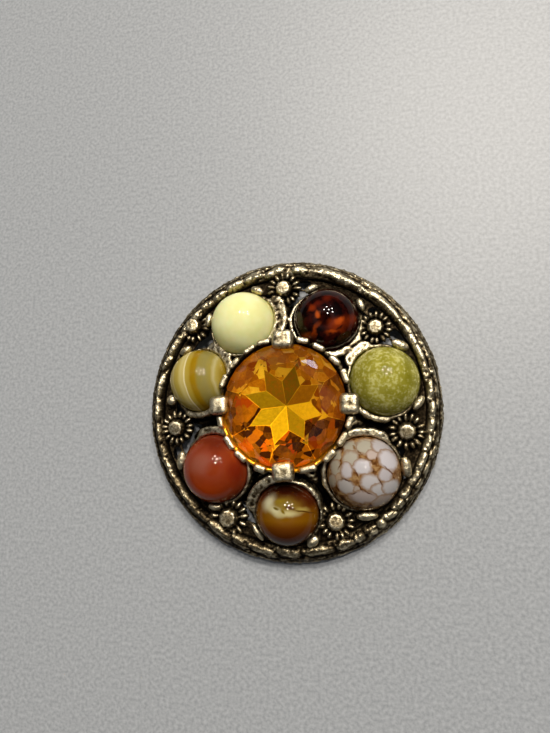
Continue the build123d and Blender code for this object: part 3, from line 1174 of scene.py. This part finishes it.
def oval_patch(tree, place, ground, colour, middle, size, turn, edge):
    """Lays an oval patch of colour in the ground: its middle and half sizes in millimetres as seen
    from above, its turn, and the share of it that its soft edge takes."""
    spot = add_node(
        tree,
        "ShaderNodeMapping",
        {"vector_type": "TEXTURE"},
        {
            "Vector": place,
            "Location": (*middle, 0),
            "Rotation": (0, 0, math.radians(turn)),
            "Scale": (*size, patch_depth),
        },
    ).outputs["Vector"]
    inward = add_node(tree, "ShaderNodeTexGradient", {"gradient_type": "SPHERICAL"}, {"Vector": spot})
    return blended(tree, ground, colour, inward.outputs["Fac"], 0.0, edge)


def painted_foot_shade(tree, place, ground, colour, height):
    """Paints shade on a stone: lets the ground go over into another colour towards the stone's foot,
    below a height.
    """
    up = add_node(tree, "ShaderNodeSeparateXYZ", inputs={"Vector": place}).outputs["Z"]
    return blended(tree, ground, colour, up, height, 0.0)


# Cream agate, waxy and nearly even: light sinks a little way into it, so its shades are soft
material, tree, shader, place = polished("stone_cream", "polished_cream_agate")
body, _ = clouded(tree, place, 2.6, [(0.35, "#D6D796"), (0.65, "#DEDFA9")])
body = painted_foot_shade(tree, place, body, "#D0CB80", height=2.4)
feed(shader, {"Base Color": body, "Subsurface Weight": 0.25, "Subsurface Scale": mm})
make_cabochon("stone_cream", material)

# Tortoise glass, pressed: nearly black, with torn patches and streaks of clear red-brown
tortoise_patches = [
    ("#241C08", (-3.3, -1.2), (1.1, 1.9), 0),
    ("#481206", (0.5, 2.6), (1.1, 1.0), 0),
    ("#481206", (-0.7, 1.8), (0.9, 0.7), 30),
    ("#6E2406", (-1.6, 1.1), (1.0, 0.9), 20),
    ("#A0440E", (-0.9, 0.1), (0.6, 0.7), 0),
    ("#742C06", (-1.2, -2.0), (1.7, 0.5), 58),
    ("#6A2E06", (-2.7, -2.7), (1.3, 1.0), 0),
    ("#6E2406", (2.0, -1.5), (2.6, 1.5), 22),
    ("#A2420E", (2.3, -1.0), (1.1, 0.6), 30),
    ("#90380A", (1.2, -2.4), (1.3, 0.5), 12),
    ("#1A0604", (2.4, -1.9), (0.8, 0.25), 25),
    ("#5E1E06", (3.9, -0.6), (0.8, 1.2), 0),
]
material, tree, shader, place = polished("stone_tortoise", "tortoise_glass")
place = stirred(tree, place, size=1.7, reach=1.7)
body, _ = clouded(tree, place, 1.2, [(0.4, "#080202"), (0.7, "#2E0A05")])
for colour, middle, size, turn in tortoise_patches:
    body = oval_patch(tree, place, body, colour, middle, size, turn, edge=0.9)
body = painted_foot_shade(tree, place, body, "#120403", height=1.0)
feed(shader, {"Base Color": body})
make_cabochon("stone_tortoise", material)

# Green stone: olive, crowded with pale specks, thickest where its clouds are pale
speck_size = 0.42
material, tree, shader, place = polished("stone_green", "speckled_green_stone")
body, cloud = clouded(tree, place, 2.2, [(0.3, "#6E6A18"), (0.7, "#989238")], 3.0)
specks = add_node(
    tree, "ShaderNodeTexNoise", inputs={"Vector": place, "Scale": 1 / speck_size, "Detail": 3.0}
).outputs["Fac"]
crowd = add_node(
    tree,
    "ShaderNodeMath",
    {"operation": "MULTIPLY_ADD"},
    {0: cloud, 1: 0.6, 2: specks},
).outputs["Value"]
body = blended(tree, body, "#C6C488", crowd, 0.76, 1.0, most=0.5)
feed(shader, {"Base Color": body})
make_cabochon("stone_green", material)

# Marbled glass: white lumps rolled in amber, which shows as pools and veins between them
lump_gap = 1.05
glass_lumps = [
    ("#979283", (0.4, 3.7), (1.6, 1.1), 0),
    ("#928C7C", (-1.7, 3.7), (1.0, 0.9), 0),
    ("#979285", (-1.5, 2.2), (1.3, 1.1), 20),
    ("#908977", (-3.5, 2.4), (0.7, 1.0), -20),
    ("#A2948C", (1.4, 2.7), (0.9, 0.8), 0),
    ("#A29D9E", (2.6, 3.6), (1.8, 1.0), -30),
    ("#908979", (-3.7, 0.9), (0.9, 1.3), 0),
    ("#8C8271", (-4.2, -0.9), (0.7, 1.0), 0),
    ("#92806A", (-3.2, -0.5), (0.5, 0.8), 0),
    ("#A7A4A6", (0.1, 1.05), (1.4, 1.15), 0),
    ("#A49FA0", (-2.05, 0.45), (0.95, 1.35), 0),
    ("#999490", (-2.2, -1.6), (1.4, 1.0), -15),
    ("#95897E", (-0.8, -2.0), (0.5, 0.6), 0),
    ("#A29E9E", (1.05, -0.95), (1.45, 1.25), 0),
    ("#A09D9D", (2.2, -2.0), (1.25, 1.1), 0),
    ("#9E9B9B", (3.7, -1.6), (1.4, 1.15), 10),
    ("#A09B9D", (3.0, 0.0), (0.95, 1.0), 0),
    ("#ADA9AD", (3.4, 1.9), (1.8, 1.25), -48),
    ("#978C87", (0.2, -3.0), (2.2, 0.95), -4),
    ("#8C7E73", (2.6, -3.5), (1.5, 0.8), 20),
]
amber_threads = [
    ("#3E1E08", (-0.25, -1.7), (1.0, 0.16), -70),
    ("#4A2A12", (0.7, -2.35), (1.1, 0.12), -25),
    ("#3E1E08", (2.3, -0.8), (0.9, 0.16), -65),
    ("#4A2410", (3.5, 0.6), (1.4, 0.14), -42),
    ("#4A2410", (4.1, -0.3), (0.6, 0.18), -75),
    ("#5A3818", (1.8, 2.0), (0.7, 0.18), 85),
    ("#4A2A10", (-0.7, 0.15), (0.9, 0.16), -55),
    ("#3A1E0A", (-2.0, -0.85), (1.1, 0.16), -12),
    ("#5A3A18", (-3.0, 1.2), (1.0, 0.16), 60),
    ("#6A4A24", (-1.1, 3.6), (0.5, 0.2), -45),
    ("#5A3A18", (-0.3, 3.0), (0.9, 0.1), -40),
    ("#3A1E0A", (-1.3, -2.5), (0.5, 0.12), 10),
]
material, tree, shader, place = polished("stone_marbled", "marbled_glass")
place = stirred(tree, place, size=1.5, reach=0.8)
place = stirred(tree, place, size=0.5, reach=0.4)
amber = [(0.32, "#3E220A"), (0.48, "#684420"), (0.64, "#8E7048")]
body, _ = clouded(tree, place, 0.8, amber, 3.0)
for colour, middle, size, turn in glass_lumps:
    around = tuple(lump_gap * half for half in size)
    body = oval_patch(tree, place, body, "#7E6650", middle, around, turn, edge=0.14)
    body = oval_patch(tree, place, body, colour, middle, size, turn, edge=0.42)
for colour, middle, size, turn in amber_threads:
    body = oval_patch(tree, place, body, colour, middle, size, turn, edge=0.8)
feed(shader, {"Base Color": body})
make_cabochon("stone_marbled", material)

# Brown agate: tiger brown with a cream cloud across its upper half, torn by two dark cracks
brown_patches = [
    ("#3E1604", (3.4, 2.3), (1.9, 2.1), 0, 0.9),
    ("#6E5A1C", (0.0, 1.2), (3.7, 2.0), 2, 0.8),
    ("#A39F80", (-2.0, 1.8), (1.8, 1.2), 50, 0.9),
    ("#A8A27C", (-1.0, 0.8), (1.7, 0.9), -25, 0.9),
    ("#A69C6E", (0.8, 0.4), (2.4, 0.7), 3, 0.9),
    ("#8C7A3C", (2.6, 0.9), (1.4, 0.6), -8, 0.9),
    ("#6E5A14", (-0.4, 2.1), (1.2, 0.5), 10, 0.9),
    ("#56460A", (-0.85, 1.1), (0.6, 0.28), -20, 0.7),
    ("#66520E", (0.1, 0.65), (0.6, 0.28), -42, 0.7),
    ("#482C04", (1.05, 1.15), (0.95, 0.28), -8, 0.6),
    ("#482C06", (2.9, 0.62), (1.9, 0.16), -14, 0.7),
]
brown_layers = [
    (0.06, "#1C0A02"),
    (0.18, "#3C1804"),
    (0.34, "#582E04"),
    (0.44, "#6E4604"),
    (0.62, "#603606"),
    (0.74, "#3E1604"),
    (0.84, "#1E0802"),
]
material, tree, shader, place = polished("stone_brown", "brown_agate")
place = stirred(tree, place, size=1.8, reach=0.6)
along = add_node(tree, "ShaderNodeSeparateXYZ", inputs={"Vector": place}).outputs["Y"]
body = layered(tree, along, brown_layers)
for colour, middle, size, turn, edge in brown_patches:
    body = oval_patch(tree, place, body, colour, middle, size, turn, edge)
body = painted_foot_shade(tree, place, body, "#1C0802", height=1.6)
feed(shader, {"Base Color": body})
make_cabochon("stone_brown", material)

# Carnelian: red-brown, with painted light on it: a pink haze painted as a highlight, painted shade
# above and on its right edge, and a painted orange glow below
carnelian_painted_light = [
    ("#5C2010", (0.8, 3.9), (4.2, 2.4), 0),
    ("#7C4434", (-1.2, 1.0), (2.9, 2.4), 20),
    ("#8C3208", (-0.6, -3.2), (3.9, 2.2), 0),
    ("#6A1E0A", (3.8, -0.2), (1.4, 3.0), 0),
]
material, tree, shader, place = polished("stone_carnelian", "carnelian")
place = stirred(tree, place, size=3.0, reach=1.5)
body, _ = clouded(tree, place, 2.5, [(0.35, "#762A0E"), (0.65, "#7C3216")])
for colour, middle, size, turn in carnelian_painted_light:
    body = oval_patch(tree, place, body, colour, middle, size, turn, edge=0.9)
body = painted_foot_shade(tree, place, body, "#561406", height=1.2)
feed(shader, {"Base Color": body, "Subsurface Weight": 0.15, "Subsurface Scale": mm})
make_cabochon("stone_carnelian", material)

# Banded agate, laid down in layers of ochre, olive grey and white, and cut so that they show bowed
banded_layers = [
    (0.08, "#8E7C34"),
    (0.165, "#948236"),
    (0.18, "#A89A62"),
    (0.20, "#988636"),
    (0.28, "#A08E40"),
    (0.33, "#B2A466"),
    (0.38, "#AE9E5E"),
    (0.397, "#CFC59A"),
    (0.414, "#9C883A"),
    (0.47, "#947E28"),
    (0.50, "#846608"),
    (0.555, "#86690E"),
    (0.60, "#7E7236"),
    (0.70, "#7E7440"),
    (0.77, "#8A7C38"),
    (0.81, "#A69C6C"),
    (0.84, "#9A8A42"),
    (0.90, "#8C7424"),
    (0.97, "#80660C"),
]
# How much the layers bow, and how far they lean
layer_bow = -0.04
layer_lean = 0.13
material, tree, shader, place = polished("stone_banded", "banded_agate")
place = stirred(tree, place, size=2.5, reach=0.6)
across, along, _ = add_node(tree, "ShaderNodeSeparateXYZ", inputs={"Vector": place}).outputs
bow = add_node(
    tree,
    "ShaderNodeMath",
    {"operation": "MULTIPLY_ADD"},
    {0: along, 1: layer_bow, 2: layer_lean},
).outputs["Value"]
bowed = add_node(
    tree,
    "ShaderNodeMath",
    {"operation": "MULTIPLY_ADD"},
    {0: bow, 1: along, 2: across},
).outputs["Value"]
body = layered(tree, bowed, banded_layers)
feed(shader, {"Base Color": body})
make_cabochon("stone_banded", material)
